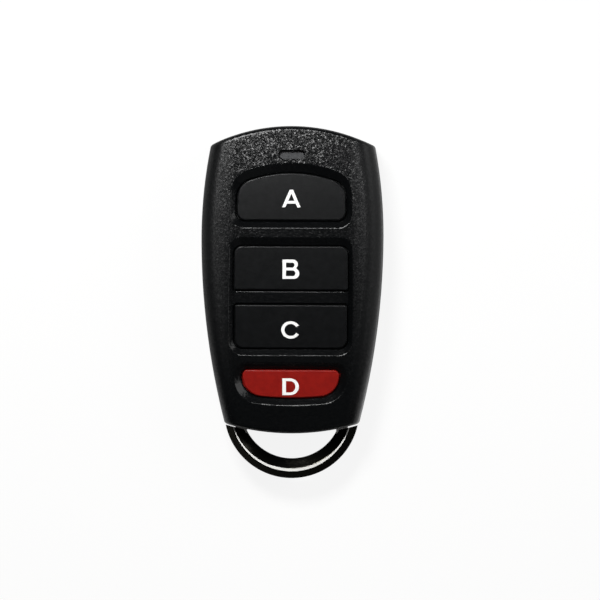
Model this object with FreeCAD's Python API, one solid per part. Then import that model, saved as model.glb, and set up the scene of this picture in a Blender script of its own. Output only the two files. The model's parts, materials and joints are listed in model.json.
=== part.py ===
import FreeCAD, Part
import os
from collections import namedtuple
from math import asin, degrees, sqrt
from FreeCAD import Vector

# A remote key fob that lies on its back. Millimetres.
# X runs across it, Y from the key loop to the light window, Z out of its front.

# The four keys and the plastic between them, from the head down to the tail
HEAD_MARGIN = 9.1
KEY_A_LENGTH = 9.2
GAP_A_TO_B = 4.95
KEY_B_LENGTH = 8.5
GAP_B_TO_C = 2.85
KEY_C_LENGTH = 8.4
GAP_C_TO_D = 4.2
KEY_D_LENGTH = 5.4
TAIL_MARGIN = 6.9

# Widths of the keys
KEY_A_WIDTH = 21.1
KEY_B_WIDTH = 22.2
KEY_C_WIDTH = 21.8
KEY_D_WIDTH = 18.7

# Casing outline: two long arcs a side, one arc at the head and one at the tail
BODY_WIDTH = 35.0
HEAD_TAPER = 3.4
TAIL_TAPER = 9.2
HEAD_BOW = 3.8
TAIL_BOW = 1.9
WIDEST_BELOW_HEAD = 21.3

# Casing walls and edges
REAR_WALL = 1.3
FRONT_WALL = 1.9
SIDE_WALL = 1.5
CROWN_RISE = 1.5
FRONT_ROLL = 3.0
REAR_ROLL = 2.0
END_ROUND = 0.9
CAVITY_CORNER = 1.0

# How far a cutting block runs past what it cuts
OVERRUN = 1.0

# Joint between the shells: a lip on the rear one inside the front one, and a fine groove outside
SPLIT_HEIGHT = 6.0
LIP_HEIGHT = 0.8
LIP_THICKNESS = 0.6
LIP_GAP = 0.08
SEAM_GROOVE = 0.15

# Key caps
POCKET_DEPTH = 1.1
KEY_SINK = 0.55
KEY_GAP = 0.22
KEY_EDGE = 0.28
FLANGE_WIDTH = 0.7
FLANGE_THICKNESS = 0.7
FLANGE_GAP = 0.05
CAP_WALL = 1.3
CORE_DEPTH = 0.7
STEM_RADIUS = 1.5
STEM_LENGTH = 1.23
STEM_GAP = 0.02

# Keys' outlines: how much narrower two of them are at the head, bowed ends, and corners
KEY_TAPER = 0.1
KEY_A_HEAD_RADIUS = 24.5
KEY_A_HEAD_CORNER = 3.6
KEY_A_TAIL_CORNER = 1.6
KEY_B_HEAD_CORNER = 1.5
KEY_C_TAIL_CORNER = 1.7
KEY_D_HEAD_CORNER = 1.0
KEY_D_TAIL_CORNER = 3.9
KEY_D_TAIL_RADIUS = 60.0
SHARP_CORNER = 0.4

# Pockets round the keys: how far each rim stands off its keys, how much wider it is at
# the tail, and its corners
Rim = namedtuple("Rim", "head tail side flare corner_top corner_low")
RIM_A = Rim(head=1.95, tail=1.6, side=0.95, flare=0.45, corner_top=4.6, corner_low=2.8)
RIM_BC = Rim(head=2.05, tail=1.75, side=0.85, flare=0.25, corner_top=2.4, corner_low=2.9)
RIM_D = Rim(head=1.55, tail=1.5, side=1.05, flare=0.8, corner_top=1.6, corner_low=4.8)
RIM_ROUND = 0.3
BAR_ROUND = 0.22

# Light window and the pipe in it
WINDOW_ROUND = 0.15
WINDOW_BELOW_HEAD = 5.6
WINDOW_WIDTH = 5.0
WINDOW_HEIGHT = 1.7
WINDOW_SINK = 1.1
PIPE_GAP = 0.08
PIPE_FLANGE = 0.8

# Coin cell, size 2032, with its clip and pad contact
CELL_DIAMETER = 20.0
CELL_HEIGHT = 3.2
CAN_SHEET = 0.25
SEAL_THICKNESS = 0.8
CELL_GAP = 0.05
CLIP_SHEET = 0.25
CLIP_WIDTH = 6.0
CLIP_FOOT = 1.6
CLIP_GAP = 0.1
PAD_HEIGHT = 0.4
PAD_RADIUS = 3.5

# Circuit board
BOARD_THICKNESS = 1.0
BOARD_GAP = 0.35
BOARD_BEYOND_SWITCH = 0.8
TRACE_WIDTH = 0.7
TRACE_INSET = 0.3
TRACE_THICKNESS = 0.07
PEG_RADIUS = 0.9
PEG_INSET = 2.4
PEG_GAP = 0.03

# Push switches
SWITCH_SIDE = 5.2
SWITCH_HEIGHT = 1.5
SWITCH_FLOOR = 0.4
COVER_SHEET = 0.15
COVER_SKIRT = 0.9
DOME_RADIUS = 1.9
DOME_RISE = 0.55
DOME_SHEET = 0.08
PLUNGER_RADIUS = 1.1
PLUNGER_FOOT = 0.6
PLUNGER_FOOT_HEIGHT = 0.4
PLUNGER_STANDS = 0.45
SLIDING_GAP = 0.08
SMALL_GAP = 0.02

# Parts soldered to the board
CHIP_WIDTH = 3.9
CHIP_LENGTH = 4.9
CHIP_HEIGHT = 1.4
CHIP_LEAD_REACH = 1.1
CHIP_LEAD_WIDTH = 0.4
CHIP_LEAD_PITCH = 1.27
TRANSISTOR_WIDTH = 1.3
TRANSISTOR_LENGTH = 2.9
TRANSISTOR_HEIGHT = 1.0
TRANSISTOR_LEAD_PITCH = 0.95
LEAD_SHEET = 0.15
RESONATOR_SIDE = 5.0
RESONATOR_HEIGHT = 1.4
RESONATOR_RIM = 0.35
CHIP_PART_LENGTH = 1.6
CHIP_PART_WIDTH = 0.8
CAPACITOR_HEIGHT = 0.8
RESISTOR_HEIGHT = 0.45
LIGHT_HEIGHT = 0.7
PART_SPACING = 2.9
CAPACITOR_ROW_X = -8.7
RESISTOR_ROW_X = -5.8
PARTS_IN_ROW = 5
LEADS_A_SIDE = 4

# Screws from the rear
SCREW_RADIUS = 1.0
SCREW_HEAD_RADIUS = 1.8
SCREW_HEAD_HEIGHT = 1.2
SCREW_HEAD_SINK = 0.7
SCREW_SLOT_WIDTH = 0.5
SCREW_SLOT_DEPTH = 0.6
SCREW_LENGTH = 6.0
SCREW_GAP = 0.1
THREAD_GAP = 0.02
SCREW_BOSS_WALL = 1.1
HEAD_SCREW_BELOW_HEAD = 6.9
HEAD_SCREW_INSET = 4.1
TAIL_SCREW_ABOVE_TAIL = 3.1
BOSS_SEAT = 3.9

# Metal key loop
LOOP_REACH = 8.7
LOOP_BAND = 3.85
LOOP_BEYOND_TAIL = 0.2
LOOP_OUTER_RADIUS = (BODY_WIDTH - TAIL_TAPER) / 2 + LOOP_BEYOND_TAIL
LOOP_SIDE_BAND = 3.35
LOOP_INNER_RADIUS = LOOP_OUTER_RADIUS - LOOP_SIDE_BAND
LOOP_THICKNESS = 3.6
LOOP_EDGE = 1.3
LOOP_OUTER_SLOPE = 1.25
LOOP_INNER_SLOPE = 1.95
LOOP_SOFTENING = 0.25
LOOP_GAP = 0.25
TAB_THICKNESS = 1.7
TAB_WIDTH = 2.2
TAB_GAP = 0.15
EYE_RADIUS = 1.8
EYE_INSET = 3.7
EYE_ABOVE_TAIL = 4.2
EYE_POST_RADIUS = 0.95
EYE_POST_GAP = 0.08
EYE_POST_RISE = 1.0
EYE_SHOULDER = 1.6

# Places along the length
BODY_LENGTH = (HEAD_MARGIN + KEY_A_LENGTH + GAP_A_TO_B + KEY_B_LENGTH + GAP_B_TO_C
               + KEY_C_LENGTH + GAP_C_TO_D + KEY_D_LENGTH + TAIL_MARGIN)
HEAD_Y = (BODY_LENGTH + LOOP_REACH) / 2
TAIL_Y = HEAD_Y - BODY_LENGTH
LOOP_TIP_Y = TAIL_Y - LOOP_REACH
WIDEST_Y = HEAD_Y - WIDEST_BELOW_HEAD
MIDDLE_Y = (HEAD_Y + TAIL_Y) / 2
A_TOP = HEAD_Y - HEAD_MARGIN
A_LOW = A_TOP - KEY_A_LENGTH
B_TOP = A_LOW - GAP_A_TO_B
B_LOW = B_TOP - KEY_B_LENGTH
C_TOP = B_LOW - GAP_B_TO_C
C_LOW = C_TOP - KEY_C_LENGTH
D_TOP = C_LOW - GAP_C_TO_D
D_LOW = D_TOP - KEY_D_LENGTH
WINDOW_Y = HEAD_Y - WINDOW_BELOW_HEAD
ROW_AB = (A_LOW + B_TOP) / 2
ROW_BC = (B_LOW + C_TOP) / 2
ROW_CD = (C_LOW + D_TOP) / 2
CELL_Y = (B_TOP + B_LOW) / 2

# Heights, from the rear face up to the crest of the front
CLIP_LOW = REAR_WALL + CLIP_GAP
CELL_LOW = CLIP_LOW + CLIP_SHEET + CELL_GAP
BOARD_LOW = CELL_LOW + CELL_HEIGHT + PAD_HEIGHT
BOARD_TOP = BOARD_LOW + BOARD_THICKNESS
SWITCH_TOP = BOARD_TOP + SWITCH_HEIGHT
DOME_LOW = BOARD_TOP + SWITCH_FLOOR + SMALL_GAP
PLUNGER_TOP = SWITCH_TOP + COVER_SHEET + PLUNGER_STANDS
CEILING = PLUNGER_TOP + STEM_GAP + STEM_LENGTH + FLANGE_THICKNESS + FLANGE_GAP
THICKNESS = CEILING + FRONT_WALL

REACH = BODY_WIDTH
CROWN_RADIUS = ((BODY_LENGTH / 2) ** 2 + CROWN_RISE ** 2) / (2 * CROWN_RISE)
CROWN_CENTRE = Vector(-REACH, MIDDLE_Y, THICKNESS - CROWN_RADIUS)


# Small helpers

def block(x_low, x_high, y_low, y_high, z_low, z_high):
    corner = Vector(x_low, y_low, z_low)
    return Part.makeBox(x_high - x_low, y_high - y_low, z_high - z_low, corner)


def centred_block(x, y, width, length, z_low, z_high):
    return block(x - width / 2, x + width / 2, y - length / 2, y + length / 2, z_low, z_high)


def post(x, y, radius, z_low, z_high):
    return Part.makeCylinder(radius, z_high - z_low, Vector(x, y, z_low))


def cone(x, y, radius_low, radius_high, z_low, z_high):
    return Part.makeCone(radius_low, radius_high, z_high - z_low, Vector(x, y, z_low))


def both_sides(shape):
    return [shape, shape.mirror(Vector(), Vector(1, 0, 0))]


def is_upright(edge):
    bounds = edge.BoundBox
    return bounds.XLength + bounds.YLength < bounds.ZLength / 10


def bow(radius, half):
    """How far an arc of this radius falls away over half its chord. Radius 0 is a straight line."""
    if not radius:
        return 0
    return radius - sqrt(radius ** 2 - half ** 2)


def bow_radius(half, depth):
    return (half ** 2 + depth ** 2) / (2 * depth)


# Casing form

UPPER_RADIUS = bow_radius(WIDEST_BELOW_HEAD - HEAD_BOW, HEAD_TAPER / 2)
LOWER_RADIUS = bow_radius(WIDEST_Y - TAIL_Y - TAIL_BOW, TAIL_TAPER / 2)
HEAD_RADIUS = bow_radius((BODY_WIDTH - HEAD_TAPER) / 2, HEAD_BOW)
TAIL_RADIUS = bow_radius((BODY_WIDTH - TAIL_TAPER) / 2, TAIL_BOW)


def half_width(y, inset=0.0):
    """Half the casing's width at a place along it."""
    radius = UPPER_RADIUS if y > WIDEST_Y else LOWER_RADIUS
    return BODY_WIDTH / 2 - inset - bow(radius, y - WIDEST_Y)


def side_edge(radius, y_far, inset):
    """The arc from the widest place to y_far, on the right side."""
    radius -= inset
    widest = BODY_WIDTH / 2 - inset

    def point(y):
        return Vector(widest - bow(radius, y - WIDEST_Y), y, 0)
    return Part.Arc(point(WIDEST_Y), point((WIDEST_Y + y_far) / 2), point(y_far)).toShape()


def side_prism(inset, z_low, z_high):
    """The casing's two sides, run on past its head and tail."""
    beyond = LOOP_REACH / 2
    right = [side_edge(LOWER_RADIUS, TAIL_Y - beyond, inset),
             side_edge(UPPER_RADIUS, HEAD_Y + beyond, inset)]
    left = [both_sides(edge)[1] for edge in right]
    ends = []
    for near, far in zip(right, left):
        ends.append(Part.makeLine(near.Vertexes[-1].Point, far.Vertexes[-1].Point))
    wire = Part.Wire(Part.__sortEdges__(right + left + ends))
    prism = Part.Face(wire).extrude(Vector(0, 0, z_high - z_low))
    prism.translate(Vector(0, 0, z_low))
    return prism


def end_prism(inset, z_low, z_high):
    """The space between the arcs of the head and the tail."""
    half = BODY_WIDTH / 2 + OVERRUN
    head = HEAD_Y - inset
    tail = TAIL_Y + inset
    head_side = head - bow(HEAD_RADIUS - inset, half)
    tail_side = tail + bow(TAIL_RADIUS - inset, half)
    top = Part.Arc(Vector(-half, head_side, z_low), Vector(0, head, z_low),
                   Vector(half, head_side, z_low)).toShape()
    low = Part.Arc(Vector(half, tail_side, z_low), Vector(0, tail, z_low),
                   Vector(-half, tail_side, z_low)).toShape()
    right = Part.makeLine(Vector(half, head_side, z_low), Vector(half, tail_side, z_low))
    left = Part.makeLine(Vector(-half, tail_side, z_low), Vector(-half, head_side, z_low))
    return Part.Face(Part.Wire([top, right, low, left])).extrude(Vector(0, 0, z_high - z_low))


def plan(inset, z_low, z_high):
    """The casing's outline, set in all round, between two heights."""
    return side_prism(inset, z_low, z_high).common(end_prism(inset, z_low, z_high))


def under_crown(shape, depth):
    """The part of a shape that lies a depth or more below the crowned front."""
    return shape.common(Part.makeCylinder(CROWN_RADIUS - depth, 2 * REACH, CROWN_CENTRE, Vector(1, 0, 0)))


def crown_height(y):
    return THICKNESS - bow(CROWN_RADIUS, y - MIDDLE_Y)


def laid_along_crown(shape, y, z):
    """A shape turned about the line across the fob at y and z, to lie along the crown there."""
    shape.rotate(Vector(0, y, z), Vector(1, 0, 0), degrees(asin((MIDDLE_Y - y) / CROWN_RADIUS)))
    return shape


def casing_block():
    """The closed casing from outside: crowned front, rolled sides, rounded ends."""
    bar = under_crown(side_prism(0, 0, THICKNESS + OVERRUN), 0)
    long_edges = [edge for edge in bar.Edges if edge.BoundBox.YLength > HEAD_MARGIN]
    bar = bar.makeFillet(FRONT_ROLL, [edge for edge in long_edges if edge.CenterOfMass.z > SPLIT_HEIGHT])
    long_edges = [edge for edge in bar.Edges if edge.BoundBox.YLength > HEAD_MARGIN]
    low_edges = [edge for edge in long_edges if edge.BoundBox.ZMax < REAR_WALL / 2]
    bar = bar.makeFillet(REAR_ROLL, low_edges)
    body = bar.common(end_prism(0, -OVERRUN, THICKNESS + OVERRUN))
    head = max(body.Faces, key=lambda face: face.CenterOfMass.y)
    body = body.makeFillet(END_ROUND, head.OuterWire.Edges)
    tail = min(body.Faces, key=lambda face: face.CenterOfMass.y)
    return body.makeFillet(END_ROUND, tail.OuterWire.Edges)


def cavity_block():
    """The hollow inside the casing."""
    hollow = plan(SIDE_WALL, REAR_WALL, THICKNESS)
    ends = [edge for edge in hollow.Edges if is_upright(edge)]
    corners = [edge for edge in ends if abs(edge.CenterOfMass.y - WIDEST_Y) > HEAD_BOW]
    return under_crown(hollow.makeFillet(CAVITY_CORNER, corners), FRONT_WALL)


# Keys: each outline has straight sides, and a head and a tail that are straight or bowed

KeyShape = namedtuple("KeyShape", "top low half_top half_low radius_top radius_low corner_top corner_low")

KEY_A = KeyShape(A_TOP, A_LOW, KEY_A_WIDTH / 2 - KEY_TAPER, KEY_A_WIDTH / 2, KEY_A_HEAD_RADIUS, 0,
                 KEY_A_HEAD_CORNER, KEY_A_TAIL_CORNER)
KEY_B = KeyShape(B_TOP, B_LOW, KEY_B_WIDTH / 2 - KEY_TAPER, KEY_B_WIDTH / 2, 0, 0,
                 KEY_B_HEAD_CORNER, SHARP_CORNER)
KEY_C = KeyShape(C_TOP, C_LOW, KEY_C_WIDTH / 2, KEY_C_WIDTH / 2, 0, 0,
                 SHARP_CORNER, KEY_C_TAIL_CORNER)
KEY_D = KeyShape(D_TOP, D_LOW, KEY_D_WIDTH / 2, KEY_D_WIDTH / 2, 0, KEY_D_TAIL_RADIUS,
                 KEY_D_HEAD_CORNER, KEY_D_TAIL_CORNER)
KEYS = {"a": KEY_A, "b": KEY_B, "c": KEY_C, "d": KEY_D}


def grown(shape, margin):
    """The same outline, set out all round by a margin."""
    radius_top = shape.radius_top + margin if shape.radius_top else 0
    radius_low = shape.radius_low + margin if shape.radius_low else 0
    return KeyShape(shape.top + margin, shape.low - margin, shape.half_top + margin,
                    shape.half_low + margin, radius_top, radius_low,
                    max(shape.corner_top + margin, SHARP_CORNER),
                    max(shape.corner_low + margin, SHARP_CORNER))


def key_edge(y, half, radius, sense):
    """One end of a key's outline: a line, or an arc whose crest is at y."""
    if not radius:
        return Part.makeLine(Vector(-half, y, 0), Vector(half, y, 0))
    side = y - sense * bow(radius, half)
    return Part.Arc(Vector(-half, side, 0), Vector(0, y, 0), Vector(half, side, 0)).toShape()


def key_prism(shape, z_low, z_high):
    top = key_edge(shape.top, shape.half_top, shape.radius_top, 1)
    low = key_edge(shape.low, shape.half_low, shape.radius_low, -1)
    sides = []
    for end in (0, -1):
        sides.append(Part.makeLine(top.Vertexes[end].Point, low.Vertexes[end].Point))
    wire = Part.Wire(Part.__sortEdges__([top, low] + sides))
    prism = Part.Face(wire).extrude(Vector(0, 0, z_high - z_low))
    prism.translate(Vector(0, 0, z_low))
    middle = (shape.top + shape.low) / 2
    upper = [edge for edge in prism.Edges if is_upright(edge) and edge.CenterOfMass.y > middle]
    prism = prism.makeFillet(shape.corner_top, upper)
    lower = [edge for edge in prism.Edges if is_upright(edge) and edge.CenterOfMass.y < middle]
    lower = [edge for edge in lower if edge.CenterOfMass.y < shape.low + shape.corner_low]
    return prism.makeFillet(shape.corner_low, lower)


def key_wire(shape, z):
    prism = key_prism(shape, z, z + OVERRUN)
    return min(prism.Faces, key=lambda face: face.CenterOfMass.z).OuterWire


def key_rest(shape):
    """The height of the underside of a key's flange, with the key up."""
    middle = (shape.top + shape.low) / 2
    return crown_height(middle) - FRONT_WALL - FLANGE_GAP - FLANGE_THICKNESS


def key_cap(shape):
    """A cap with a flange that holds it in, a cored underside and a stem for its switch."""
    underside = key_rest(shape)
    cap = under_crown(key_prism(shape, underside, THICKNESS + OVERRUN), KEY_SINK)
    face = max(cap.Faces, key=lambda each: each.CenterOfMass.z)
    cap = cap.makeFillet(KEY_EDGE, face.OuterWire.Edges)
    flange = under_crown(key_prism(grown(shape, FLANGE_WIDTH), underside, THICKNESS), FRONT_WALL + FLANGE_GAP)
    half = shape.half_top - 2 * CAP_WALL
    core_top = shape.top - CAP_WALL - bow(shape.radius_top, half)
    core_low = shape.low + CAP_WALL + bow(shape.radius_low, half)
    core = block(-half, half, core_low, core_top, underside - OVERRUN, underside + CORE_DEPTH)
    middle = (shape.top + shape.low) / 2
    stem = post(0, middle, STEM_RADIUS, PLUNGER_TOP + STEM_GAP, underside + CORE_DEPTH + STEM_GAP)
    return cap.fuse(flange).cut(core).fuse(stem).removeSplitter()


def pocket(keys, edge):
    """The sloped pocket round one key or a column of keys, as a cutting block.

    Its floor ends halfway into the gap round the keys, so that the gap cuts the slopes cleanly.
    """
    first = grown(keys[0], KEY_GAP / 2)
    last = grown(keys[-1], KEY_GAP / 2)
    floor = KeyShape(first.top, last.low, first.half_top, last.half_low, first.radius_top,
                     last.radius_low, first.corner_top, last.corner_low)
    rim = KeyShape(keys[0].top + edge.head, keys[-1].low - edge.tail, floor.half_top + edge.side,
                   floor.half_low + edge.side + edge.flare, floor.radius_top, floor.radius_low,
                   edge.corner_top, edge.corner_low)
    rise = (POCKET_DEPTH + OVERRUN) / POCKET_DEPTH
    above = KeyShape(*[low + rise * (high - low) for low, high in zip(floor, rim)])
    middle = (floor.top + floor.low) / 2
    floor_height = crown_height(middle) - POCKET_DEPTH
    wires = [key_wire(floor, floor_height), key_wire(above, floor_height + POCKET_DEPTH + OVERRUN)]
    return laid_along_crown(Part.makeLoft(wires, True, True), middle, floor_height)


# Light window

def window_prism(margin, z_low, z_high):
    """A slot with round ends."""
    radius = WINDOW_HEIGHT / 2 + margin
    half = WINDOW_WIDTH / 2 + margin - radius
    slot = centred_block(0, WINDOW_Y, 2 * half, 2 * radius, z_low, z_high)
    for end in both_sides(post(half, WINDOW_Y, radius, z_low, z_high)):
        slot = slot.fuse(end)
    return slot.removeSplitter()


def light_pipe():
    ceiling = crown_height(WINDOW_Y) - FRONT_WALL - FLANGE_GAP
    pipe = window_prism(-PIPE_GAP, ceiling - PIPE_FLANGE, crown_height(WINDOW_Y) - WINDOW_SINK)
    flange = under_crown(window_prism(PIPE_FLANGE, ceiling - PIPE_FLANGE, THICKNESS), FRONT_WALL + FLANGE_GAP)
    foot = post(0, WINDOW_Y, WINDOW_HEIGHT / 2, BOARD_TOP + LIGHT_HEIGHT + FLANGE_GAP, ceiling)
    return pipe.fuse(flange).fuse(foot).removeSplitter()


# Places that several pieces share

HEAD_SCREW_Y = HEAD_Y - HEAD_SCREW_BELOW_HEAD
HEAD_SCREW_X = half_width(HEAD_SCREW_Y) - HEAD_SCREW_INSET
TAIL_SCREW_Y = TAIL_Y + TAIL_SCREW_ABOVE_TAIL
SCREW_PLACES = [(-HEAD_SCREW_X, HEAD_SCREW_Y), (HEAD_SCREW_X, HEAD_SCREW_Y), (0, TAIL_SCREW_Y)]
SCREW_BOSS = SCREW_RADIUS + SCREW_BOSS_WALL
SCREW_SEAT = SCREW_HEAD_SINK + SCREW_HEAD_HEIGHT
REAR_BOSS = SCREW_HEAD_RADIUS + SCREW_GAP + SCREW_BOSS_WALL

PEG_PLACES = []
for peg_y in (ROW_AB, ROW_CD):
    peg_x = half_width(peg_y, SIDE_WALL) - PEG_INSET
    PEG_PLACES += [(peg_x, peg_y), (-peg_x, peg_y)]

EYE_Y = TAIL_Y + EYE_ABOVE_TAIL
EYE_X = half_width(EYE_Y) - EYE_INSET


def tab_slots():
    """The two slots that let the loop's tabs through the tail wall."""
    z_low = SPLIT_HEIGHT - TAB_THICKNESS / 2 - TAB_GAP
    z_high = SPLIT_HEIGHT + TAB_THICKNESS / 2 + TAB_GAP
    slot = centred_block(EYE_X, TAIL_Y, TAB_WIDTH + 2 * TAB_GAP, 2 * EYE_ABOVE_TAIL, z_low, z_high)
    return both_sides(slot.fuse(post(EYE_X, EYE_Y, EYE_RADIUS + TAB_GAP, z_low, z_high)))


# Casing shells

def front_shell():
    above = block(-REACH, REACH, LOOP_TIP_Y, HEAD_Y + OVERRUN, SPLIT_HEIGHT, THICKNESS + OVERRUN)
    shell = casing_block().common(above).cut(cavity_block())
    inside = under_crown(plan(SIDE_WALL / 2, SPLIT_HEIGHT - THICKNESS, THICKNESS), FRONT_WALL / 2)
    tab_top = SPLIT_HEIGHT + TAB_THICKNESS / 2 + PEG_GAP
    pillars = [post(x, y, SCREW_BOSS, BOSS_SEAT + SMALL_GAP, THICKNESS) for x, y in SCREW_PLACES]
    pillars += [post(x, y, PEG_RADIUS, BOARD_TOP + PEG_GAP, THICKNESS) for x, y in PEG_PLACES]
    pillars += both_sides(post(EYE_X, EYE_Y, EYE_SHOULDER, tab_top, THICKNESS))
    lip_room = plan(SIDE_WALL - LIP_THICKNESS - LIP_GAP, 0, SPLIT_HEIGHT + LIP_HEIGHT + LIP_GAP)
    lip_room = lip_room.cut(plan(SIDE_WALL + LIP_GAP, -OVERRUN, THICKNESS))
    groove = plan(-OVERRUN, SPLIT_HEIGHT, SPLIT_HEIGHT + SEAM_GROOVE)
    groove = groove.cut(plan(SEAM_GROOVE, SPLIT_HEIGHT, SPLIT_HEIGHT + SEAM_GROOVE))
    for pillar in pillars:
        shell = shell.fuse(pillar.common(inside))
    shell = shell.cut(lip_room).cut(groove)
    for x, y in SCREW_PLACES:
        shell = shell.cut(post(x, y, SCREW_RADIUS + THREAD_GAP, 0, SCREW_SEAT + SCREW_LENGTH + SCREW_GAP))
    for x in (EYE_X, -EYE_X):
        shell = shell.cut(post(x, EYE_Y, EYE_POST_RADIUS + EYE_POST_GAP, 0, eye_post_top() + SMALL_GAP))
    for slot in tab_slots():
        shell = shell.cut(slot)
    for cutter in (pocket([KEY_A], RIM_A), pocket([KEY_B, KEY_C], RIM_BC), pocket([KEY_D], RIM_D)):
        shell = shell.cut(cutter)
    for shape in KEYS.values():
        shell = shell.cut(key_prism(grown(shape, KEY_GAP), CEILING - CROWN_RISE, THICKNESS + OVERRUN))
    shell = shell.cut(window_prism(0, CEILING - CROWN_RISE, THICKNESS + OVERRUN))
    return round_rims(shell.removeSplitter())


def is_crown(face):
    return isinstance(face.Surface, Part.Cylinder) and abs(face.Surface.Radius - CROWN_RADIUS) < SMALL_GAP


def rim_edges(shell, is_wide):
    """The rims of the holes in the crowned front: the pockets' where is_wide, or else the window's."""
    edges = []
    for face in filter(is_crown, shell.Faces):
        for wire in face.Wires:
            if not wire.isSame(face.OuterWire) and (wire.BoundBox.XLength > 2 * WINDOW_WIDTH) == is_wide:
                edges += wire.Edges
    return edges


def bar_round(y, inward):
    """What rounding takes off one long edge of the bar between the second and the third key."""
    half = KEY_B_WIDTH / 2 - SHARP_CORNER
    middle = (B_TOP + C_LOW) / 2
    bar_top = crown_height(middle) - POCKET_DEPTH
    axis = Vector(-half, y + inward * BAR_ROUND, bar_top - BAR_ROUND)
    y_low, y_high = sorted((y - inward * SMALL_GAP, axis.y))
    corner = block(-half, half, y_low, y_high, axis.z, bar_top + BAR_ROUND)
    corner = corner.cut(Part.makeCylinder(BAR_ROUND, 2 * half, axis, Vector(1, 0, 0)))
    return laid_along_crown(corner, middle, bar_top)


def round_rims(shell):
    """Rounds the rims of the pockets and of the light window, and the bar's edges."""
    shell = shell.cut(bar_round(B_LOW - KEY_GAP, -1)).cut(bar_round(C_TOP + KEY_GAP, 1))
    shell = shell.makeFillet(RIM_ROUND, rim_edges(shell, True))
    return shell.makeFillet(WINDOW_ROUND, rim_edges(shell, False))


def eye_post_top():
    return SPLIT_HEIGHT + TAB_THICKNESS / 2 + EYE_POST_RISE


def rear_shell():
    below = block(-REACH, REACH, LOOP_TIP_Y, HEAD_Y + OVERRUN, -OVERRUN, SPLIT_HEIGHT)
    shell = casing_block().common(below).cut(cavity_block())
    lip = plan(SIDE_WALL - LIP_THICKNESS, SPLIT_HEIGHT - LIP_HEIGHT, SPLIT_HEIGHT + LIP_HEIGHT)
    shell = shell.fuse(lip.cut(plan(SIDE_WALL, 0, THICKNESS)))
    inside = plan(SIDE_WALL / 2, REAR_WALL / 2, THICKNESS)
    pillars = [post(x, y, REAR_BOSS, 0, BOSS_SEAT) for x, y in SCREW_PLACES]
    pillars += [post(x, y, PEG_RADIUS, 0, BOARD_LOW - PEG_GAP) for x, y in PEG_PLACES]
    pillars += both_sides(post(EYE_X, EYE_Y, EYE_SHOULDER, 0, SPLIT_HEIGHT - TAB_THICKNESS / 2 - PEG_GAP))
    pillars += both_sides(post(EYE_X, EYE_Y, EYE_POST_RADIUS, 0, eye_post_top()))
    for pillar in pillars:
        shell = shell.fuse(pillar.common(inside))
    for x, y in SCREW_PLACES:
        shell = shell.cut(post(x, y, SCREW_RADIUS + SCREW_GAP, -OVERRUN, THICKNESS))
        shell = shell.cut(post(x, y, SCREW_HEAD_RADIUS + SCREW_GAP, -OVERRUN, SCREW_SEAT))
    for slot in tab_slots():
        shell = shell.cut(slot.common(plan(-OVERRUN, 0, THICKNESS)))
    for shape in both_sides(post(EYE_X, EYE_Y, EYE_POST_RADIUS, REAR_WALL, eye_post_top())):
        shell = shell.fuse(shape)
    return shell.removeSplitter()


def shell_screw(x, y):
    """A pan head with a cross slot, facing the rear, and a plain shank."""
    head = post(x, y, SCREW_HEAD_RADIUS, SCREW_HEAD_SINK, SCREW_SEAT - SMALL_GAP)
    shank = post(x, y, SCREW_RADIUS, SCREW_HEAD_SINK, SCREW_SEAT + SCREW_LENGTH)
    screw = head.fuse(shank)
    slot_top = SCREW_HEAD_SINK + SCREW_SLOT_DEPTH
    length = 2 * SCREW_RADIUS
    screw = screw.cut(centred_block(x, y, length, SCREW_SLOT_WIDTH, 0, slot_top))
    return screw.cut(centred_block(x, y, SCREW_SLOT_WIDTH, length, 0, slot_top))


# Metal key loop

def loop_profile(y, radius, slope, z_low, z_high):
    """A disc whose rim slopes towards both faces; a negative slope makes it wider there."""
    edge_low = SPLIT_HEIGHT - LOOP_EDGE / 2
    edge_high = SPLIT_HEIGHT + LOOP_EDGE / 2
    disc = post(0, y, radius, edge_low, edge_high)
    disc = disc.fuse(cone(0, y, radius, radius - slope, edge_high, z_high))
    return disc.fuse(cone(0, y, radius - slope, radius, z_low, edge_low)).removeSplitter()


def keyring_loop():
    z_low = SPLIT_HEIGHT - LOOP_THICKNESS / 2
    z_high = SPLIT_HEIGHT + LOOP_THICKNESS / 2
    outer_y = LOOP_TIP_Y + LOOP_OUTER_RADIUS
    inner_y = LOOP_TIP_Y + LOOP_BAND + LOOP_INNER_RADIUS
    outer = loop_profile(outer_y, LOOP_OUTER_RADIUS, LOOP_OUTER_SLOPE, z_low, z_high)
    inner = loop_profile(inner_y, LOOP_INNER_RADIUS, -LOOP_INNER_SLOPE, z_low, z_high)
    band = outer.cut(inner).cut(plan(-LOOP_GAP, z_low - OVERRUN, z_high + OVERRUN))
    band = band.cut(block(-REACH, REACH, TAIL_Y + TAIL_BOW + LOOP_GAP, HEAD_Y, z_low, z_high))
    rims = [edge for edge in band.Edges if edge.Length > 2 * LOOP_BAND and not is_upright(edge)]
    band = band.makeFillet(LOOP_SOFTENING, rims)
    tab_low = SPLIT_HEIGHT - TAB_THICKNESS / 2
    tab_high = SPLIT_HEIGHT + TAB_THICKNESS / 2
    tab = block(EYE_X - TAB_WIDTH / 2, EYE_X + TAB_WIDTH / 2, TAIL_Y, EYE_Y, tab_low, tab_high)
    tab = tab.fuse(post(EYE_X, EYE_Y, EYE_RADIUS, tab_low, tab_high))
    tab = tab.cut(post(EYE_X, EYE_Y, EYE_POST_RADIUS + EYE_POST_GAP, tab_low, tab_high))
    for each in both_sides(tab):
        band = band.fuse(each)
    return band.removeSplitter()


# Circuit board and what it carries

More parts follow.
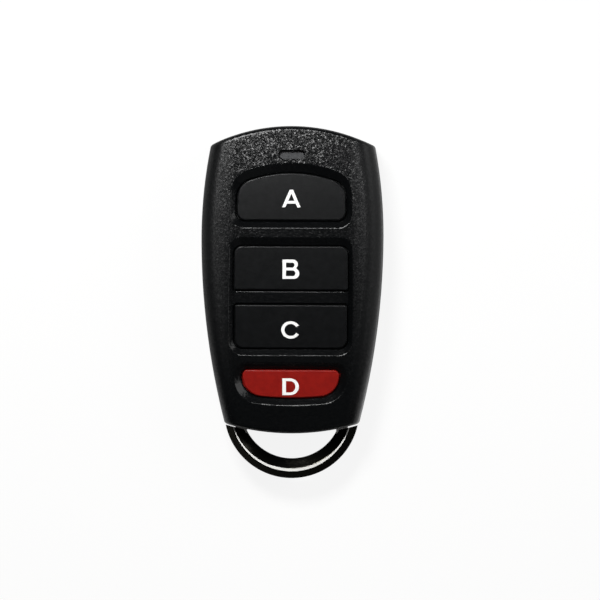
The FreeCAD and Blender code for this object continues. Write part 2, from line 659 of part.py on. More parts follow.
def circuit_board():
    """A board that ends past the last switch, its head corners cut away round the screw pillars."""
    board = plan(SIDE_WALL + BOARD_GAP, BOARD_LOW, BOARD_TOP)
    board = board.cut(block(-REACH, REACH, LOOP_TIP_Y, board_tail(), 0, THICKNESS))
    room = SCREW_BOSS + BOARD_GAP
    corner = post(HEAD_SCREW_X, HEAD_SCREW_Y, room, 0, THICKNESS)
    corner = corner.fuse(block(HEAD_SCREW_X, REACH, HEAD_SCREW_Y - room, HEAD_Y, 0, THICKNESS))
    corner = corner.fuse(block(HEAD_SCREW_X - room, REACH, HEAD_SCREW_Y, HEAD_Y, 0, THICKNESS))
    for each in both_sides(corner):
        board = board.cut(each)
    return board


def board_tail():
    return (D_TOP + D_LOW) / 2 - SWITCH_SIDE / 2 - BOARD_BEYOND_SWITCH


def aerial_trace():
    """A printed loop along both edges of the board, joined above the first switch."""
    edge = SIDE_WALL + BOARD_GAP + TRACE_INSET
    top = BOARD_TOP + TRACE_THICKNESS
    ring = plan(edge, BOARD_TOP, top).cut(plan(edge + TRACE_WIDTH, BOARD_TOP, top))
    bridge_y = (A_TOP + A_LOW) / 2 + SWITCH_SIDE / 2 + TRACE_WIDTH
    sides = ring.common(block(-REACH, REACH, ROW_BC, bridge_y, BOARD_TOP, top))
    half = half_width(bridge_y, edge) - TRACE_WIDTH / 2
    return sides.fuse(block(-half, half, bridge_y - TRACE_WIDTH, bridge_y, BOARD_TOP, top)).removeSplitter()


def coin_cell():
    """The can, the sealing ring and the cap of the cell, cap towards the board."""
    radius = CELL_DIAMETER / 2
    top = CELL_LOW + CELL_HEIGHT
    rim = top - CAN_SHEET
    can = post(0, CELL_Y, radius, CELL_LOW, rim)
    can = can.cut(post(0, CELL_Y, radius - CAN_SHEET, CELL_LOW + CAN_SHEET, rim))
    seal_radius = radius - CAN_SHEET - SMALL_GAP
    seal_low = CELL_LOW + CAN_SHEET + SMALL_GAP
    seal = post(0, CELL_Y, seal_radius, seal_low, rim)
    seal = seal.cut(post(0, CELL_Y, seal_radius - SEAL_THICKNESS, seal_low, rim))
    cap_radius = seal_radius - SEAL_THICKNESS - SMALL_GAP
    return can, seal, post(0, CELL_Y, cap_radius, seal_low, top)


def battery_clip():
    """A sprung strip under the can, with a leg and a soldered foot at each side."""
    leg = CELL_DIAMETER / 2 + CELL_GAP
    outer = leg + CLIP_SHEET
    clip = centred_block(0, CELL_Y, 2 * outer, CLIP_WIDTH, CLIP_LOW, CLIP_LOW + CLIP_SHEET)
    foot_top = BOARD_LOW - SMALL_GAP
    y_low = CELL_Y - CLIP_WIDTH / 2
    y_high = CELL_Y + CLIP_WIDTH / 2
    for each in both_sides(block(leg, outer, y_low, y_high, CLIP_LOW, foot_top)):
        clip = clip.fuse(each)
    for each in both_sides(block(leg, outer + CLIP_FOOT, y_low, y_high, foot_top - CLIP_SHEET, foot_top)):
        clip = clip.fuse(each)
    return clip.removeSplitter()


def battery_contact():
    """A plated pad with a raised button that meets the cell's cap."""
    pad_top = BOARD_LOW - SMALL_GAP
    pad = post(0, CELL_Y, PAD_RADIUS, pad_top - PAD_HEIGHT / 2, pad_top)
    button = post(0, CELL_Y, PAD_RADIUS / 2, CELL_LOW + CELL_HEIGHT + SMALL_GAP, pad_top)
    return pad.fuse(button).removeSplitter()


def switch_base(y):
    base = centred_block(0, y, SWITCH_SIDE, SWITCH_SIDE, BOARD_TOP, SWITCH_TOP)
    return base.cut(post(0, y, DOME_RADIUS + SLIDING_GAP, BOARD_TOP + SWITCH_FLOOR, SWITCH_TOP))


def switch_cover(y):
    """A folded steel plate over the base, with a skirt down two sides."""
    top = SWITCH_TOP + COVER_SHEET
    inner = SWITCH_SIDE / 2 + SMALL_GAP
    outer = inner + COVER_SHEET
    cover = centred_block(0, y, 2 * outer, SWITCH_SIDE, SWITCH_TOP + SMALL_GAP, top)
    y_low = y - SWITCH_SIDE / 4
    y_high = y + SWITCH_SIDE / 4
    for skirt in both_sides(block(inner, outer, y_low, y_high, top - COVER_SKIRT, top)):
        cover = cover.fuse(skirt)
    return cover.cut(post(0, y, PLUNGER_RADIUS + SLIDING_GAP, BOARD_TOP, THICKNESS)).removeSplitter()


def switch_dome(y):
    """A thin steel cap of a sphere that snaps down under the plunger."""
    radius = bow_radius(DOME_RADIUS, DOME_RISE)
    centre = Vector(0, y, DOME_LOW + DOME_RISE - radius)
    shell = Part.makeSphere(radius, centre).cut(Part.makeSphere(radius - DOME_SHEET, centre))
    return shell.common(post(0, y, DOME_RADIUS, DOME_LOW, DOME_LOW + 2 * DOME_RISE))


def switch_plunger(y):
    foot_low = DOME_LOW + DOME_RISE + SMALL_GAP
    foot = post(0, y, PLUNGER_RADIUS + PLUNGER_FOOT, foot_low, foot_low + PLUNGER_FOOT_HEIGHT)
    return foot.fuse(post(0, y, PLUNGER_RADIUS, foot_low, PLUNGER_TOP)).removeSplitter()


def gull_lead(x, y, direction, z_high, reach, width):
    """One bent lead: out of the body, down, and a foot on the board."""
    knee = x + direction * reach / 2
    tip = x + direction * reach
    out = block(min(x, knee), max(x, knee), y - width / 2, y + width / 2, z_high - LEAD_SHEET, z_high)
    inner = knee - direction * LEAD_SHEET
    down = block(min(inner, knee), max(inner, knee), y - width / 2, y + width / 2, BOARD_TOP, z_high)
    foot_top = BOARD_TOP + LEAD_SHEET
    foot = block(min(inner, tip), max(inner, tip), y - width / 2, y + width / 2, BOARD_TOP, foot_top)
    return out.fuse(down).fuse(foot).removeSplitter()


def encoder_chip():
    """An eight-lead chip in the left of the row between the first two keys."""
    x = -half_width(ROW_AB, SIDE_WALL) / 2
    low = BOARD_TOP + LEAD_SHEET
    body = centred_block(x, ROW_AB, CHIP_WIDTH, CHIP_LENGTH, low, low + CHIP_HEIGHT)
    lead_top = low + CHIP_HEIGHT / 2
    leads = []
    for index in range(LEADS_A_SIDE):
        y = ROW_AB + (index - (LEADS_A_SIDE - 1) / 2) * CHIP_LEAD_PITCH
        for direction in (-1, 1):
            side = x + direction * CHIP_WIDTH / 2
            leads.append(gull_lead(side, y, direction, lead_top, CHIP_LEAD_REACH, CHIP_LEAD_WIDTH))
    return body, leads


def radio_transistor():
    """A three-lead transistor at the right of the row behind the bar between two keys."""
    x = half_width(ROW_BC, SIDE_WALL) / 2
    low = BOARD_TOP + LEAD_SHEET
    body = centred_block(x, ROW_BC, TRANSISTOR_WIDTH, TRANSISTOR_LENGTH, low, low + TRANSISTOR_HEIGHT)
    lead_top = low + TRANSISTOR_HEIGHT / 2
    leads = []
    for direction, place in ((-1, -1), (-1, 1), (1, 0)):
        side = x + direction * TRANSISTOR_WIDTH / 2
        y = ROW_BC + place * TRANSISTOR_LEAD_PITCH
        leads.append(gull_lead(side, y, direction, lead_top, CHIP_LEAD_REACH / 2, CHIP_LEAD_WIDTH))
    return body, leads


def resonator():
    """A flat metal can with a narrower lid."""
    x = half_width(ROW_AB, SIDE_WALL) / 2
    step = BOARD_TOP + RESONATOR_HEIGHT / 2
    base = centred_block(x, ROW_AB, RESONATOR_SIDE, RESONATOR_SIDE, BOARD_TOP, step)
    lid_side = RESONATOR_SIDE - 2 * RESONATOR_RIM
    lid = centred_block(x, ROW_AB, lid_side, lid_side, step, BOARD_TOP + RESONATOR_HEIGHT)
    return base.fuse(lid).removeSplitter()


def chip_part(x, y, height):
    return centred_block(x, y, CHIP_PART_WIDTH, CHIP_PART_LENGTH, BOARD_TOP, BOARD_TOP + height)


def chip_part_row(x, y, height):
    """A row of like parts across the board, from the left one's place."""
    return [chip_part(x + index * PART_SPACING, y, height) for index in range(PARTS_IN_ROW)]


# Files, one for each piece or group of like pieces

def save(name, *solids):
    shape = solids[0] if len(solids) == 1 else Part.makeCompound(list(solids))
    shape.exportStep("parts/" + name + ".step")


def main():
    os.makedirs("parts", exist_ok=True)
    save("front_shell", front_shell())
    save("rear_shell", rear_shell())
    save("shell_screws", *[shell_screw(x, y) for x, y in SCREW_PLACES])
    save("keyring_loop", keyring_loop())
    save("light_pipe", light_pipe())
    save("circuit_board", circuit_board())
    save("aerial_trace", aerial_trace())
    for name, piece in zip(("can", "seal", "cap"), coin_cell()):
        save("battery_" + name, piece)
    save("battery_clip", battery_clip())
    save("battery_contact", battery_contact())
    chip, chip_leads = encoder_chip()
    save("encoder_chip", chip)
    save("encoder_chip_leads", *chip_leads)
    transistor, transistor_leads = radio_transistor()
    save("radio_transistor", transistor)
    save("radio_transistor_leads", *transistor_leads)
    save("resonator", resonator())
    save("chip_capacitors", *chip_part_row(CAPACITOR_ROW_X, ROW_BC, CAPACITOR_HEIGHT))
    save("chip_resistors", *chip_part_row(RESISTOR_ROW_X, ROW_CD, RESISTOR_HEIGHT))
    save("indicator_light", chip_part(0, WINDOW_Y, LIGHT_HEIGHT))
    for letter, shape in KEYS.items():
        middle = (shape.top + shape.low) / 2
        save("key_" + letter, key_cap(shape))
        save("switch_" + letter + "_base", switch_base(middle))
        save("switch_" + letter + "_cover", switch_cover(middle))
        save("switch_" + letter + "_dome", switch_dome(middle))
        save("switch_" + letter + "_plunger", switch_plunger(middle))


main()
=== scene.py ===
# %% [markdown]
# # A remote key fob, from bare solids to a finished object
# The fob comes as solid pieces in true size: two casing shells, four keys, a metal loop, and the
# circuit board with its switches and coin cell inside. Their shapes are right already, so this
# lesson gives each piece its finish, prints the letters on the keys, and sets the light and camera.
# The pieces could be modelled here as well, but a piece made once, in metres, fits everywhere.

# %% Load the fob's pieces
import json
import math

import bpy
import bmesh
from mathutils import Euler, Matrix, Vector
from mathutils.geometry import tessellate_polygon


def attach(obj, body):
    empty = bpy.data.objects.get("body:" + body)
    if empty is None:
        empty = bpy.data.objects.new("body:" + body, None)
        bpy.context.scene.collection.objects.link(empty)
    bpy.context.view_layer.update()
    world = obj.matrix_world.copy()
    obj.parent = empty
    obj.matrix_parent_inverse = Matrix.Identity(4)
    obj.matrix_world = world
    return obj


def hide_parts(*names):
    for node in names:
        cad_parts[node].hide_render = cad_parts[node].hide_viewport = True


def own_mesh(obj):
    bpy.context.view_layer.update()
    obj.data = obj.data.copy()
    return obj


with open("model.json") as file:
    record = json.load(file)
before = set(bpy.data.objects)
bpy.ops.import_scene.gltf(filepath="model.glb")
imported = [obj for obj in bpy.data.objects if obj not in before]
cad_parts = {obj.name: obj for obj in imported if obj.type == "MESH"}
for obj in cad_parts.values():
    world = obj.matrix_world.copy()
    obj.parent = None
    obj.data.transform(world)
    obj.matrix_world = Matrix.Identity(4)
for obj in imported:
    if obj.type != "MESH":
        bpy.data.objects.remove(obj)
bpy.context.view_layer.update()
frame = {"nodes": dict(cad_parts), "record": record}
pieces = frame["nodes"]
MM = 0.001

# %% [markdown]
# ## Colours and nodes
# A colour picked from a screen is sRGB, but a shader wants linear light, so one function turns a
# hex value into linear numbers. A finish is a small tree of nodes. Written out, each node takes
# five lines, so one function adds a node with its settings and its links in a single line.

# %% Turn a hex colour into linear light
def colour(hex_code):
    """Linear red, green, blue and alpha of a colour such as '#8e1b18'."""
    channels = [int(hex_code[place:place + 2], 16) / 255 for place in (1, 3, 5)]
    linear = [c / 12.92 if c <= 0.04045 else ((c + 0.055) / 1.055) ** 2.4 for c in channels]
    return (*linear, 1.0)


print("mid grey is", round(colour("#808080")[0], 3), "in linear light")


# %% Add a node with its settings and links
def add(tree, kind, values=None, links=None, stops=None, **settings):
    """One node. values fill its inputs, links feed them, stops are a ramp's places and colours."""
    node = tree.nodes.new("ShaderNode" + kind)
    for name, value in settings.items():
        setattr(node, name, value)
    for name, value in (values or {}).items():
        node.inputs[name].default_value = value
    for name, source in (links or {}).items():
        tree.links.new(source, node.inputs[name])
    for index, (position, shade) in enumerate(stops or ()):
        ramp = node.color_ramp.elements
        element = ramp[index] if index < len(ramp) else ramp.new(position)
        element.position = position
        element.color = shade
    return node


# %% Start a finish
def new_finish(name, **values):
    """A material with its shader's own sockets set, and the place on the fob as coordinates."""
    finish = bpy.data.materials.new(name)
    finish.use_nodes = True
    shader = finish.node_tree.nodes["Principled BSDF"]
    for socket, value in values.items():
        shader.inputs[socket.replace("_", " ").title().replace("Ior", "IOR")].default_value = value
    return finish, finish.node_tree, shader, add(finish.node_tree, "TexCoord")


def per_metre(size_mm):
    """A pattern's scale, for features of this size."""
    return 1 / (size_mm * MM)


print("a grain of 0.3 mm has scale", round(per_metre(0.3)))

# %% [markdown]
# ## Patterns that most finishes share
# No moulded or plated surface is one even colour. Two patterns cover most of it: a mottle, which
# wanders between a darker and a lighter shade, and a grain, which tilts the surface a little from
# spot to spot. Both are made from noise, whose scale comes from a size measured in millimetres.

# %% Mottle and grain
def mottle(tree, coords, size_mm, dark, light):
    """A colour that wanders between two shades."""
    noise = add(tree, "TexNoise", {"Scale": per_metre(size_mm), "Detail": 4.0, "Roughness": 0.6},
                {"Vector": coords.outputs["Object"]})
    return add(tree, "ValToRGB", links={"Fac": noise.outputs["Fac"]},
               stops=((0.35, colour(dark)), (0.65, colour(light)))).outputs["Color"]


def grain(tree, coords, size_mm, depth_mm, detail=2.0):
    """A surface normal that tilts from grain to grain."""
    noise = add(tree, "TexNoise", {"Scale": per_metre(size_mm), "Detail": detail, "Roughness": 0.55},
                {"Vector": coords.outputs["Object"]})
    return add(tree, "Bump", {"Distance": depth_mm * MM}, {"Height": noise.outputs["Fac"]}).outputs["Normal"]


def uneven(tree, coords, size_mm, smooth, rough):
    """A roughness that varies between two values."""
    noise = add(tree, "TexNoise", {"Scale": per_metre(size_mm), "Detail": 3.0},
                {"Vector": coords.outputs["Object"]})
    return add(tree, "MapRange", {"From Min": 0.3, "From Max": 0.7, "To Min": smooth, "To Max": rough},
               {"Value": noise.outputs["Fac"]}).outputs["Result"]


def finish_with(tree, shader, base, roughness, normal):
    """Feeds the shader its patterns."""
    for socket, source in (("Base Color", base), ("Roughness", roughness), ("Normal", normal)):
        tree.links.new(source, shader.inputs[socket])


print("patterns: mottle, grain, uneven")

# %% [markdown]
# ## Casing: black ABS with a spark-eroded grain
# The shells are moulded in ABS. The mould's face is textured by spark erosion, which leaves a
# crisp grain of about a quarter of a millimetre. Each grain leans its own way, so near the light
# some of them flash, and far from it the plastic stays almost black. A bump alone makes waves that
# all catch the light on the same side and looks like leather. So every cell of a pattern gets a
# random colour, and the colour's three numbers say which way that grain leans. A shallow bump then
# rounds the grains. Towards the sides they get shallower, so that the shell slides out of its
# mould, and duller: both follow the distance from the fob's middle line.

# %% Casing finish
GRAIN_MM = 0.26
LEANING = 0.14
ROUNDING = 0.015 * MM
SHALLOWER_FROM = 5 * MM
DULLER_FROM = 11 * MM
SIDE = 17 * MM

casing, tree, shader, coords = new_finish("ABS, black, spark eroded", ior=1.5, specular_ior_level=0.2)
place = add(tree, "SeparateXYZ", links={"Vector": coords.outputs["Object"]})
off_middle = add(tree, "Math", links={0: place.outputs["X"]}, operation="ABSOLUTE")
grained = add(tree, "MapRange", {"From Min": SHALLOWER_FROM, "From Max": SIDE, "To Min": 1.0, "To Max": 0.65},
              {"Value": off_middle.outputs["Value"]})

grains = add(tree, "TexVoronoi", {"Scale": per_metre(GRAIN_MM), "Randomness": 1.0},
             {"Vector": coords.outputs["Object"]})
centred = add(tree, "VectorMath", {1: (0.5, 0.5, 0.5)}, {0: grains.outputs["Color"]}, operation="SUBTRACT")
steepness = add(tree, "Math", {1: LEANING}, {0: grained.outputs["Result"]}, operation="MULTIPLY")
lean = add(tree, "VectorMath", links={0: centred.outputs["Vector"], "Scale": steepness.outputs["Value"]},
           operation="SCALE")
level = add(tree, "NewGeometry")
leaning = add(tree, "VectorMath", links={0: level.outputs["Normal"], 1: lean.outputs["Vector"]},
              operation="ADD")
facet = add(tree, "VectorMath", links={0: leaning.outputs["Vector"]}, operation="NORMALIZE")

cells = add(tree, "TexVoronoi", {"Scale": per_metre(2 * GRAIN_MM), "Randomness": 1.0},
            {"Vector": coords.outputs["Object"]})
pits = add(tree, "TexNoise", {"Scale": per_metre(GRAIN_MM), "Detail": 1.0},
           {"Vector": coords.outputs["Object"]})
height = add(tree, "Math", links={0: cells.outputs["Distance"], 1: pits.outputs["Fac"]}, operation="ADD")
bump = add(tree, "Bump", {"Distance": ROUNDING},
           {"Height": height.outputs["Value"], "Strength": grained.outputs["Result"],
            "Normal": facet.outputs["Vector"]})
duller = add(tree, "MapRange", {"From Min": DULLER_FROM, "From Max": SIDE, "To Min": 0.0, "To Max": 0.36},
             {"Value": off_middle.outputs["Value"]})
roughness = add(tree, "Math", links={0: uneven(tree, coords, 0.4, 0.2, 0.26), 1: duller.outputs["Result"]},
                operation="ADD")
finish_with(tree, shader, mottle(tree, coords, 0.5, "#050607", "#090a0b"),
            roughness.outputs["Value"], bump.outputs["Normal"])
print("casing grain:", GRAIN_MM, "mm")

# %% [markdown]
# ## Keys: satin ABS, black and red
# The keys are moulded in a smoother tool, so they look satin beside the casing: a fine grain of
# about a sixth of a millimetre, a little paler than the shells. The red key has its colour in the
# plastic. Both are one recipe with other colours, which a function keeps in one place.

# %% Key finishes
def satin_key(name, dark, light):
    """Satin plastic in two close shades."""
    key, tree, shader, coords = new_finish(name, ior=1.5, specular_ior_level=0.14)
    finish_with(tree, shader, mottle(tree, coords, 1.2, dark, light),
                uneven(tree, coords, 0.5, 0.28, 0.36), grain(tree, coords, 0.16, 0.006))
    return key


key_black = satin_key("ABS, black, satin", "#090a0b", "#0e0f10")
key_red = satin_key("ABS, red, satin", "#7e1511", "#8a1913")
print("key finishes:", key_black.name, "and", key_red.name)

# %% [markdown]
# ## Key loop: zinc casting with a dark nickel plate
# The loop is die-cast zinc, polished and plated with dark nickel. Plate on a polished casting is
# almost a mirror, so its slopes show the dark room and its edges catch the light. The ridge on
# top, the part whose normal points straight up, carries a painted highlight: its base colour
# turns near white there, and it is rougher, so the normal decides where the highlight is painted.

# %% Loop finish
# Normal heights where the painted highlight on the ridge begins and where it is full.
RIDGE_STARTS = 0.975
RIDGE_HIGHLIGHT_FULL = 0.997

nickel, tree, shader, coords = new_finish("Dark nickel plate on zinc", metallic=1.0,
                                          specular_tint=colour("#303030"))
facing = add(tree, "SeparateXYZ", links={"Vector": coords.outputs["Normal"]})
# Painted highlight: the base colour turns near white where the normal points straight up.
plate = add(tree, "ValToRGB", links={"Fac": facing.outputs["Z"]},
            stops=((RIDGE_STARTS, colour("#2f2e2a")), (RIDGE_HIGHLIGHT_FULL, colour("#fdfcf8"))))
ridge_roughness = add(tree, "MapRange",
                      {"From Min": RIDGE_STARTS, "From Max": RIDGE_HIGHLIGHT_FULL, "To Min": 0.16, "To Max": 0.55},
                      {"Value": facing.outputs["Z"]})
finish_with(tree, shader, plate.outputs["Color"], ridge_roughness.outputs["Result"],
            grain(tree, coords, 0.9, 0.004, 3.0))
print("loop finish:", nickel.name)

# %% [markdown]
# ## Light window: smoked acrylic
# The light window is a pipe of smoked acrylic. It lets the lamp behind it through and greys it.
# Real transmission gives that for free: the light goes in, meets the grey, and comes out weaker.

# %% Window finish
acrylic, tree, shader, coords = new_finish("Acrylic, smoked", ior=1.49, transmission_weight=0.35)
finish_with(tree, shader, mottle(tree, coords, 0.8, "#444547", "#525355"),
            uneven(tree, coords, 0.5, 0.25, 0.4), grain(tree, coords, 0.2, 0.004))
print("window finish:", acrylic.name)

# %% [markdown]
# ## What is inside
# The pieces inside are seen only when the fob is taken apart, but each has a finish of its own.
# Moulded parts share one recipe and metal parts another, and a table gives each its two shades,
# the size of its pattern and how smooth it is.

# %% Finishes of the inner pieces
ROLLED_OUT = 0.08


def moulded(name, dark, light, size_mm, roughness):
    """A moulded, cast or printed insulator: mottled, with a fine grain."""
    finish, tree, shader, coords = new_finish(name, ior=1.5)
    finish_with(tree, shader, mottle(tree, coords, size_mm, dark, light),
                uneven(tree, coords, size_mm, roughness - 0.06, roughness + 0.06),
                grain(tree, coords, size_mm / 4, 0.005))
    return finish


def metal(name, dark, light, size_mm, roughness):
    """A stamped or plated metal, with fine lines from the rolling mill along X."""
    finish, tree, shader, coords = new_finish(name, metallic=1.0)
    stretched = add(tree, "Mapping", {"Scale": (ROLLED_OUT, 1.0, 1.0)}, {"Vector": coords.outputs["Object"]})
    lines = add(tree, "TexNoise", {"Scale": per_metre(size_mm / 6), "Detail": 3.0},
                {"Vector": stretched.outputs["Vector"]})
    normal = add(tree, "Bump", {"Distance": 0.003 * MM}, {"Height": lines.outputs["Fac"]})
    finish_with(tree, shader, mottle(tree, coords, size_mm, dark, light),
                uneven(tree, coords, size_mm, roughness - 0.05, roughness + 0.08), normal.outputs["Normal"])
    return finish


finishes = {
    "casing_abs": casing, "key_black": key_black, "key_red": key_red,
    "plated_zinc": nickel, "smoked_acrylic": acrylic,
    "led_epoxy": moulded("LED epoxy, cast", "#cfc39a", "#e6dfc0", 0.4, 0.2),
    "board_laminate": moulded("Solder mask on glass epoxy", "#0f4a25", "#17602f", 0.9, 0.3),
    "board_copper": metal("Copper track under solder mask", "#8a5a2c", "#b07a3e", 0.8, 0.3),
    "cell_gasket": moulded("Polypropylene, moulded", "#141414", "#1f1f1f", 0.5, 0.5),
    "cell_steel": metal("Nickel plate on steel", "#b4b2ac", "#cfcdc8", 2.5, 0.22),
    "screw_steel": metal("Zinc plate on screw steel", "#9a9c9e", "#b8babb", 0.8, 0.3),
    "spring_bronze": metal("Phosphor bronze strip", "#a88a55", "#c4a56c", 1.5, 0.25),
    "chip_epoxy": moulded("Epoxy, transfer moulded", "#121213", "#1c1c1d", 0.3, 0.55),
    "tinned_leads": metal("Tin on copper", "#a5a6a8", "#c2c3c4", 0.5, 0.32),
    "capacitor_ceramic": moulded("Ceramic, fired", "#8a6a45", "#a3825a", 0.3, 0.4),
    "resistor_film": moulded("Glazed film resistor", "#0f0f12", "#1c1c20", 0.3, 0.25),
    "switch_nylon": moulded("Nylon, black", "#151515", "#202020", 0.4, 0.45),
    "switch_steel": metal("Stainless steel, stamped", "#b2b3b4", "#cccdce", 0.9, 0.28),
    "plunger_nylon": moulded("Nylon, natural", "#c9c1a4", "#ddd7c0", 0.5, 0.42),
}
print(len(finishes), "finishes")

# %% Give every piece its finish
for part in frame["record"]["subparts"]:
    pieces[part["node"]].material_slots[0].material = finishes[part["material_slot"]]

# %% [markdown]
# ## Snap domes
# Under each key lies a dome of thin steel, which snaps flat as the key's plunger comes down. A
# piece that only moves can't do that: left alone the plunger would go through it, and lowered as a
# whole its foot would go into the board. So a copy of each dome, made here, stands for the solid
# one, which is hidden, and stays with the casing.

# %% Copies of the snap domes
def snap_dome(name):
    """A copy of a steel dome, attached to the casing, with the solid one hidden."""
    node = f"switch_{name}_dome"
    dome = bpy.data.objects.new("snap_dome_" + name, pieces[node].data.copy())
    bpy.context.scene.collection.objects.link(dome)
    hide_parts(node)
    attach(dome, "casing")
    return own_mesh(dome)


for name in "abcd":
    dome = snap_dome(name)

# %% [markdown]
# ## Letters on the keys
# The letters are printed in white ink with a soft pad, which leaves a film some hundredths of a
# millimetre thick. A text object would bring its own typeface and flat faces, while the keys are
# crowned. So each letter is an outline of a few lines and arcs, filled, and laid on its key by
# dropping every corner onto the key's face.

# %% Outlines of the letters, each in a box that is one wide and one high
def arc(x, y, reach_x, reach_y, start, end, steps=16):
    """Points along part of an ellipse, between two angles in degrees."""
    angles = [math.radians(start + (end - start) * step / steps) for step in range(steps + 1)]
    return [(x + reach_x * math.cos(angle), y + reach_y * math.sin(angle)) for angle in angles]


outlines = {
    "a": [[(0, 0), (0.18, 0), (0.26, 0.21), (0.74, 0.21), (0.82, 0), (1, 0), (0.59, 1), (0.41, 1)],
          [(0.33, 0.365), (0.67, 0.365), (0.5, 0.79)]],
    "b": [[(0, 0)] + arc(0.66, 0.275, 0.34, 0.275, -90, 50)
          + arc(0.62, 0.755, 0.29, 0.245, -50, 90) + [(0, 1)],
          [(0.205, 0.14)] + arc(0.61, 0.288, 0.155, 0.148, -90, 90) + [(0.205, 0.436)],
          [(0.205, 0.585)] + arc(0.57, 0.715, 0.14, 0.13, -90, 90) + [(0.205, 0.845)]],
    "c": [arc(0.5, 0.5, 0.5, 0.5, 30, 330, 28) + arc(0.5, 0.5, 0.33, 0.34, 330, 30, 28)],
    "d": [[(0, 0)] + arc(0.48, 0.5, 0.52, 0.5, -90, 90, 20) + [(0, 1)],
          [(0.22, 0.16)] + arc(0.46, 0.5, 0.33, 0.34, -90, 90, 20) + [(0.22, 0.84)]],
}
print("letters:", ", ".join(outlines))

# %% Lay each letter on its key
INK = 0.03 * MM
letter_sizes = {"a": (3.6, 3.4), "b": (3.26, 3.72), "c": (3.66, 3.38), "d": (3.2, 3.24)}
letter_places = {"a": 20.05, "b": 6.37, "c": -5.37, "d": -16.36}

ink, tree, shader, coords = new_finish("White pad-printing ink", ior=1.5)
finish_with(tree, shader, mottle(tree, coords, 0.6, "#f3f3f0", "#fcfcfa"),
            uneven(tree, coords, 0.4, 0.4, 0.5), grain(tree, coords, 0.15, 0.004))


def print_letter(name):
    """A film of ink on a key, in the shape of a letter."""
    key = pieces["key_" + name]
    width, height = letter_sizes[name]
    loops = [[Vector(((x - 0.5) * width, letter_places[name] + (y - 0.5) * height, 0)) * MM for x, y in loop]
             for loop in outlines[name]]
    mesh = bmesh.new()
    rings = []
    for loop in loops:
        hits = [key.ray_cast((point.x, point.y, 1), (0, 0, -1))[1] for point in loop]
        rings.append([[mesh.verts.new(hit + Vector((0, 0, lift))) for hit in hits] for lift in (-INK, INK)])
    tops = [corner for low, high in rings for corner in high]
    lows = [corner for low, high in rings for corner in low]
    for first, second, third in tessellate_polygon(loops):
        mesh.faces.new((tops[first], tops[second], tops[third]))
        mesh.faces.new((lows[third], lows[second], lows[first]))
    for low, high in rings:
        for index in range(len(low)):
            mesh.faces.new((low[index - 1], low[index], high[index], high[index - 1]))
    bmesh.ops.recalc_face_normals(mesh, faces=mesh.faces)
    data = bpy.data.meshes.new("letter_" + name)
    mesh.to_mesh(data)
    mesh.free()
    data.materials.append(ink)
    letter = bpy.data.objects.new("letter_" + name, data)
    bpy.context.scene.collection.objects.link(letter)
    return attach(letter, "pressed_" + name)


for name in outlines:
    letter = print_letter(name)
    print(letter.name, len(letter.data.polygons), "faces")

# %% [markdown]
# ## Floor and light
# The fob lies on a white table. To the camera the table glows near white, and so it does in the
# metal, but a share of it is an ordinary matt surface that keeps the fob's soft shadow. The main
# lamp is a soft box beyond the fob's head, a little to its left. It rakes over the front, so the
# head of the casing shines, the tail stays dark, and every pocket has one dark and one lit wall.
# A larger box on the right lifts the right shoulder, and a weak one stands beyond the tail.

# %% Floor
FLOOR_SIDE = 6.0
FLOOR_DROP = 0.02 * MM
WHITE_SHARE = 0.88

table = bpy.data.materials.new("White table top")
table.use_nodes = True
tree = table.node_tree
tree.nodes.remove(tree.nodes["Principled BSDF"])
matt = add(tree, "BsdfDiffuse", {"Color": colour("#f6f6f4")})
glow = add(tree, "Emission", {"Strength": 1.0})
ray = add(tree, "LightPath")
straight = add(tree, "Math", links={0: ray.outputs["Is Camera Ray"], 1: ray.outputs["Is Glossy Ray"]},
               operation="ADD")
seen = add(tree, "Math", links={0: straight.outputs["Value"], 1: ray.outputs["Is Transmission Ray"]},
           operation="ADD", use_clamp=True)
share = add(tree, "Math", {1: WHITE_SHARE}, {0: seen.outputs["Value"]}, operation="MULTIPLY")
mixed = add(tree, "MixShader",
            links={0: share.outputs["Value"], 1: matt.outputs["BSDF"], 2: glow.outputs["Emission"]})
tree.links.new(mixed.outputs["Shader"], tree.nodes["Material Output"].inputs["Surface"])

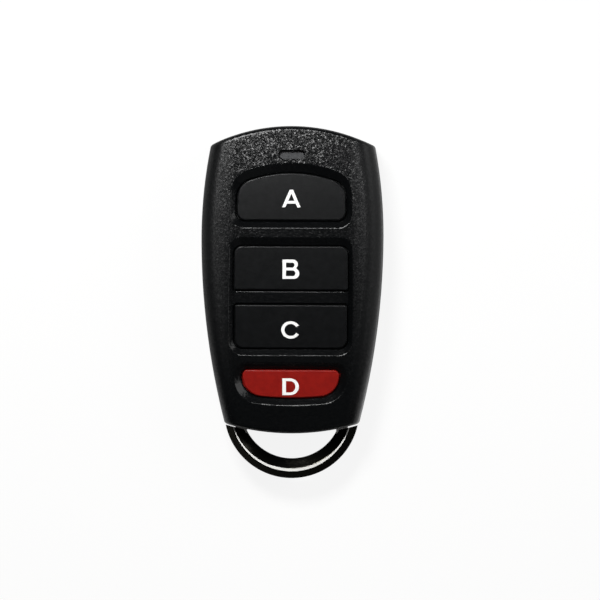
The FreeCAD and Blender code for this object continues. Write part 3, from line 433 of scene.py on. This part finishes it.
plane = bmesh.new()
bmesh.ops.create_grid(plane, x_segments=1, y_segments=1, size=FLOOR_SIDE / 2)
floor_mesh = bpy.data.meshes.new("table_top")
plane.to_mesh(floor_mesh)
plane.free()
floor_mesh.materials.append(table)
floor = bpy.data.objects.new("table_top", floor_mesh)
floor.location.z = -FLOOR_DROP
bpy.context.scene.collection.objects.link(floor)
print("table:", FLOOR_SIDE, "m square")


# %% Lamps and world
def soft_box(name, place, size, power):
    """A square lamp that faces the fob."""
    lamp = bpy.data.lights.new(name, "AREA")
    lamp.size = size
    lamp.energy = power
    box = bpy.data.objects.new(name, lamp)
    box.location = place
    box.rotation_euler = (-Vector(place)).to_track_quat("-Z", "Y").to_euler()
    bpy.context.scene.collection.objects.link(box)


soft_box("soft_box_head", (-0.055, 0.15, 0.25), 0.08, 0.9)
soft_box("soft_box_tail", (0.25, -0.45, 0.45), 0.5, 0.1)
soft_box("soft_box_right", (0.4, 0.15, 0.25), 0.3, 1.0)

WORLD_STRENGTH = 0.05

world = bpy.data.worlds.new("Dim studio")
world.use_nodes = True
sky = world.node_tree.nodes["Background"]
sky.inputs["Color"].default_value = colour("#ffffff")
sky.inputs["Strength"].default_value = WORLD_STRENGTH
bpy.context.scene.world = world
bpy.context.scene.view_settings.view_transform = "Standard"
print("lamps: head, tail and right; world strength", WORLD_STRENGTH)

# %% [markdown]
# ## Camera
# The fob is seen almost straight from above, through a long lens that shows hardly any
# perspective. The picture is square and 116 mm wide where it meets the keys, with the fob a
# little left of centre. No one holds a camera quite level: this one leans to the fob's right and
# turns by a quarter of a degree, so a little more of the right shoulder shows than of the left one.

# %% Camera
PICTURE_WIDTH = 116 * MM
DISTANCE = 2.0
PICTURE_CENTRE = Vector((1.78, 0.43, 11.7)) * MM
LEAN = math.radians(2.8)
TURN = math.radians(0.25)
SENSOR_MM = 36

lens = bpy.data.cameras.new("camera")
lens.sensor_width = SENSOR_MM
lens.lens = SENSOR_MM * DISTANCE / PICTURE_WIDTH
camera = bpy.data.objects.new("camera", lens)
camera.rotation_euler = Euler((0, LEAN, TURN))
camera.location = PICTURE_CENTRE + camera.rotation_euler.to_matrix() @ Vector((0, 0, DISTANCE))
bpy.context.scene.collection.objects.link(camera)
bpy.context.scene.camera = camera
print("lens:", round(lens.lens), "mm")
